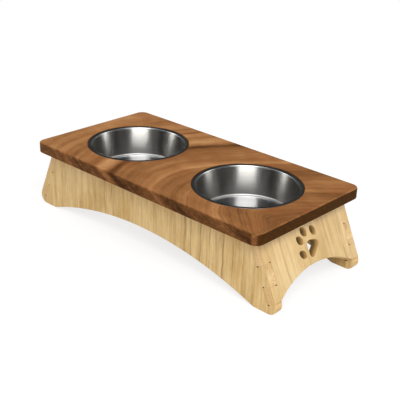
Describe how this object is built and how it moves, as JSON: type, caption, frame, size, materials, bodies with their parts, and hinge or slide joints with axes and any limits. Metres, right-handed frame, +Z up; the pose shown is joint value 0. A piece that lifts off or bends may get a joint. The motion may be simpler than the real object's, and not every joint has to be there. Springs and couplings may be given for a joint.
{
  "type": "dog feeder stand",
  "caption": "Low wooden feeding stand with a brown board, a finger-jointed pale base with arched sides and splayed ends, and lift-out steel bowls.",
  "frame": {"origin": "on the floor, under the middle of the stand", "axes": "+X along the board towards the right end as seen from the front, +Y towards the rear, +Z up"},
  "size_m": [0.4378, 0.2, 0.1023],
  "materials": {
    "walnut": "oiled satin",
    "pine": "sanded and clear oiled",
    "steel": "polished",
    "block_pine": "sawn",
    "zinc": "zinc plated"
  },
  "bodies": {
    "stand": {"top_board": "walnut", "front_panel": "pine", "rear_panel": "pine", "left_end_panel": "pine", "right_end_panel": "pine", "front_left_block": "block_pine", "front_right_block": "block_pine", "rear_left_block": "block_pine", "rear_right_block": "block_pine", "front_cleat": "block_pine", "rear_cleat": "block_pine", "block_board_screws": "zinc", "block_long_panel_screws": "zinc", "block_end_panel_screws": "zinc", "cleat_board_screws": "zinc", "cleat_panel_screws": "zinc"},
    "left_bowl": {"left_bowl": "steel"},
    "right_bowl": {"right_bowl": "steel"}
  },
  "joints": [
    {"name": "left_bowl_lift", "type": "slide", "parent": "stand", "child": "left_bowl", "axis": [0, 0, 1], "range_m": [0, 0.15]},
    {"name": "right_bowl_lift", "type": "slide", "parent": "stand", "child": "right_bowl", "axis": [0, 0, 1], "range_m": [0, 0.15]}
  ]
}
